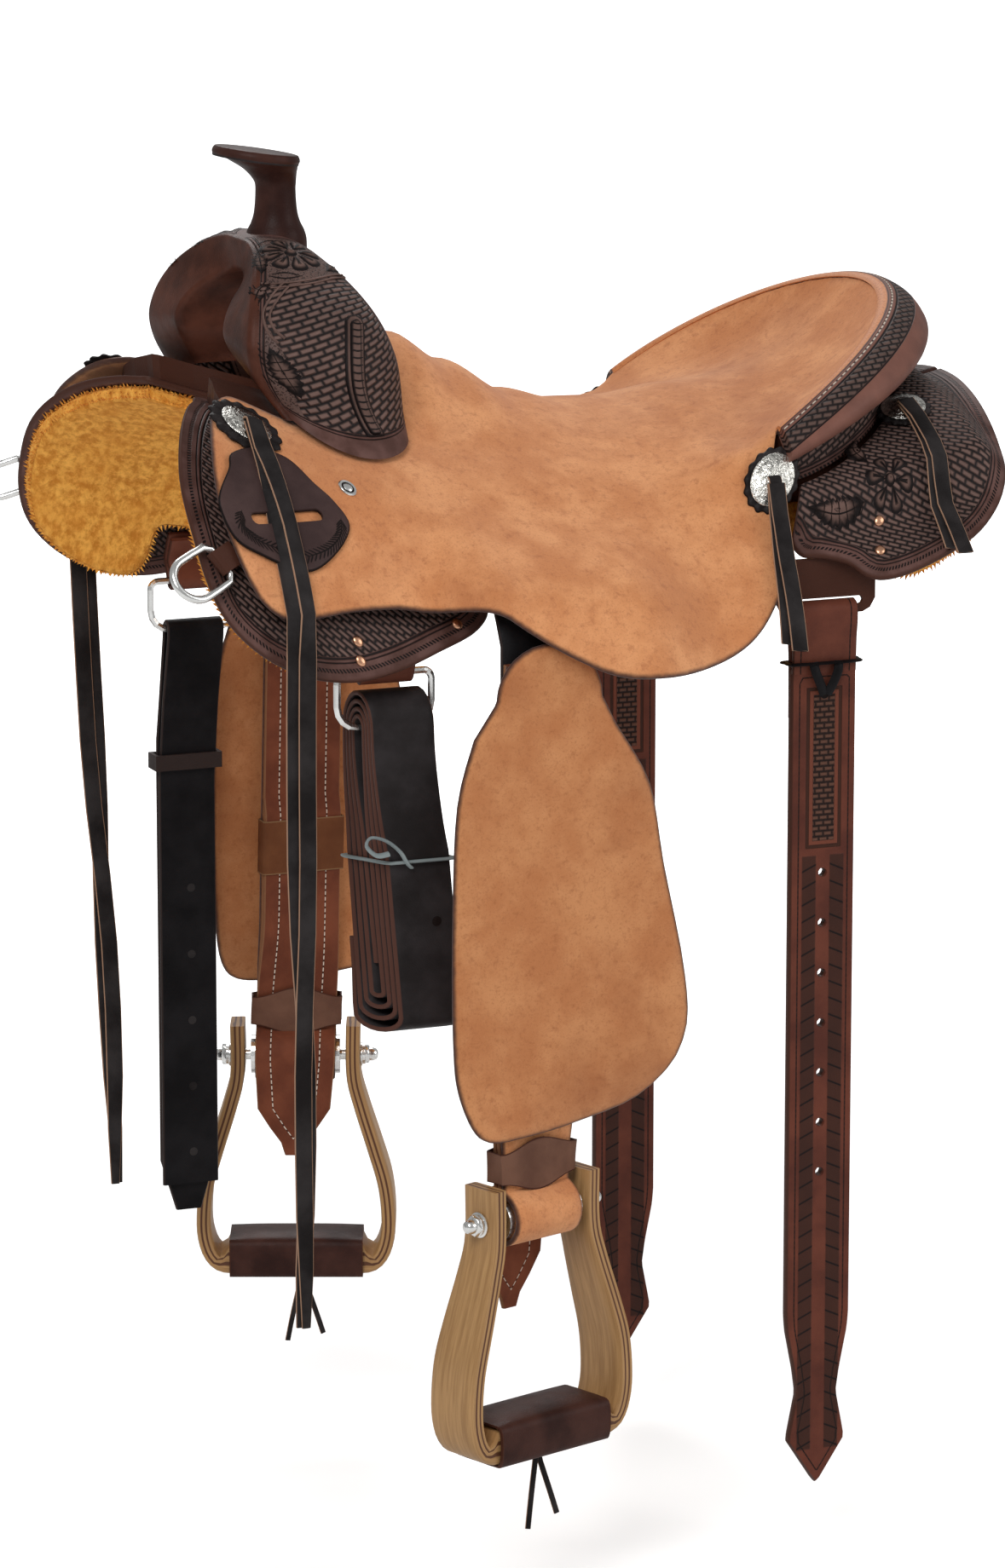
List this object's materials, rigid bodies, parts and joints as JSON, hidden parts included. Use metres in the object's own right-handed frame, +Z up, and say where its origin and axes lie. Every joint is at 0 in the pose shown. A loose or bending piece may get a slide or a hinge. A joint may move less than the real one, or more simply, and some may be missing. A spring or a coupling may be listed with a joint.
{
  "type": "stock saddle",
  "caption": "Western stock saddle: tree with horn, rough-out seat and jockeys, tooled skirts over fleece, swinging fenders, wooden stirrups, latigo hank and billets.",
  "frame": {"origin": "on the ridge of the horse's back, in the saddle's centre plane, near the lowest point of the seat", "axes": "-X towards the horse's head, -Y towards the near (left) side, +Z up"},
  "size_m": [0.6909, 0.5847, 0.99],
  "materials": {
    "roughout_tan": "natural rough-out leather, suede side outside",
    "tooled_leather": "dark tooled leather with a basket stamp",
    "smooth_leather": "smooth brown leather, oiled",
    "black_leather": "black strap leather",
    "latigo_leather": "waxed latigo leather, near black",
    "string_leather": "dark string leather",
    "fleece": "golden lining fleece",
    "tree_wood": "bare wood of the tree",
    "stirrup_wood": "varnished laminated wood",
    "steel": "bright steel",
    "silver": "plain silvered concho on a leather rosette",
    "tie_grey": "grey plastic tie"
  },
  "bodies": {
    "saddle": {"cantle_back": "tooled_leather", "cheyenne_roll": "smooth_leather", "horn_cap": "smooth_leather", "horn_core": "steel", "horn_wrap": "smooth_leather", "near_breast_strap": "smooth_leather", "near_front_fleece": "fleece", "near_front_skirt": "tooled_leather", "near_latigo_keeper": "smooth_leather", "near_rear_fleece": "fleece", "near_rear_rigging": "steel", "near_rear_skirt": "tooled_leather", "near_rigging_dee": "steel", "near_rigging_leather": "smooth_leather", "near_rosette_and_concho": "silver", "near_stirrup_leather_top": "black_leather", "near_tree_bar": "tree_wood", "off_breast_strap": "smooth_leather", "off_front_fleece": "fleece", "off_front_skirt": "tooled_leather", "off_latigo_keeper": "smooth_leather", "off_rear_fleece": "fleece", "off_rear_rigging": "steel", "off_rear_skirt": "tooled_leather", "off_rigging_dee": "steel", "off_rigging_leather": "smooth_leather", "off_rosette_and_concho": "silver", "off_stirrup_leather_top": "black_leather", "off_tree_bar": "tree_wood", "seat_and_jockeys": "roughout_tan", "swell_cover": "tooled_leather", "tree_cantle": "tree_wood", "tree_fork": "tree_wood"},
    "near_breast_dee_body": {"near_breast_dee": "steel"},
    "near_fender_body": {"near_fender": "roughout_tan", "near_hobble_strap": "smooth_leather", "near_stirrup_leather": "smooth_leather", "near_stirrup_strap_tail": "smooth_leather", "near_strap_sleeve": "steel"},
    "near_flank_billet_body": {"near_flank_billet": "smooth_leather"},
    "near_front_strings_body": {"near_front_strings": "string_leather"},
    "near_latigo_body": {"near_latigo": "latigo_leather", "near_latigo_tie": "tie_grey"},
    "near_stirrup_body": {"near_stirrup_bolt": "steel", "near_stirrup_frame": "stirrup_wood", "near_stirrup_tread": "smooth_leather"},
    "off_billet_body": {"off_billet": "black_leather", "off_billet_keeper": "black_leather"},
    "off_breast_dee_body": {"off_breast_dee": "steel"},
    "off_fender_body": {"off_fender": "roughout_tan", "off_hobble_strap": "smooth_leather", "off_stirrup_leather": "smooth_leather", "off_stirrup_strap_tail": "smooth_leather", "off_strap_sleeve": "steel"},
    "off_flank_billet_body": {"off_flank_billet": "smooth_leather"},
    "off_front_strings_body": {"off_front_strings": "string_leather"},
    "off_stirrup_body": {"off_stirrup_bolt": "steel", "off_stirrup_frame": "stirrup_wood", "off_stirrup_tread": "smooth_leather"}
  },
  "joints": [
    {"name": "near_fender_swing", "type": "hinge", "parent": "saddle", "child": "near_fender_body", "pos_m": [-0.066, -0.2435, -0.125], "axis": [0, 1, 0], "range_deg": [-20, 15]},
    {"name": "near_stirrup_tilt", "type": "hinge", "parent": "near_fender_body", "child": "near_stirrup_body", "pos_m": [-0.0753, -0.2435, -0.497], "axis": [-0.9397, -0.342, 0], "range_deg": [-15, 25]},
    {"name": "near_flank_billet_swing", "type": "hinge", "parent": "saddle", "child": "near_flank_billet_body", "pos_m": [0.1755, -0.1815, -0.09], "axis": [-1, 0, 0], "range_deg": [-15, 40]},
    {"name": "near_breast_dee_flip", "type": "hinge", "parent": "saddle", "child": "near_breast_dee_body", "pos_m": [-0.2945, -0.21139, -0.01896], "axis": [-0.5256, 0.3553, 0.773], "range_deg": [0, 50]},
    {"name": "near_front_strings_lift", "type": "hinge", "parent": "saddle", "child": "near_front_strings_body", "pos_m": [-0.24865, -0.20499, 0.00202], "axis": [1, 0, 0], "range_deg": [-30, 0]},
    {"name": "off_fender_swing", "type": "hinge", "parent": "saddle", "child": "off_fender_body", "pos_m": [-0.066, 0.2435, -0.125], "axis": [0, 1, 0], "range_deg": [-20, 15]},
    {"name": "off_stirrup_tilt", "type": "hinge", "parent": "off_fender_body", "child": "off_stirrup_body", "pos_m": [-0.0753, 0.2435, -0.497], "axis": [0.9272, -0.3746, 0], "range_deg": [-15, 25]},
    {"name": "off_flank_billet_swing", "type": "hinge", "parent": "saddle", "child": "off_flank_billet_body", "pos_m": [0.1755, 0.1815, -0.09], "axis": [1, 0, 0], "range_deg": [-15, 40]},
    {"name": "off_breast_dee_flip", "type": "hinge", "parent": "saddle", "child": "off_breast_dee_body", "pos_m": [-0.2945, 0.21139, -0.01896], "axis": [0.5256, 0.3553, -0.773], "range_deg": [0, 50]},
    {"name": "off_front_strings_lift", "type": "hinge", "parent": "saddle", "child": "off_front_strings_body", "pos_m": [-0.24865, 0.20499, 0.00202], "axis": [-1, 0, 0], "range_deg": [-30, 0]},
    {"name": "near_latigo_swing", "type": "hinge", "parent": "saddle", "child": "near_latigo_body", "pos_m": [-0.17, -0.2, -0.1449], "axis": [1, 0, 0], "range_deg": [0, 25]},
    {"name": "off_billet_swing", "type": "hinge", "parent": "saddle", "child": "off_billet_body", "pos_m": [-0.17, 0.2, -0.1449], "axis": [-1, 0, 0], "range_deg": [-15, 25]}
  ]
}
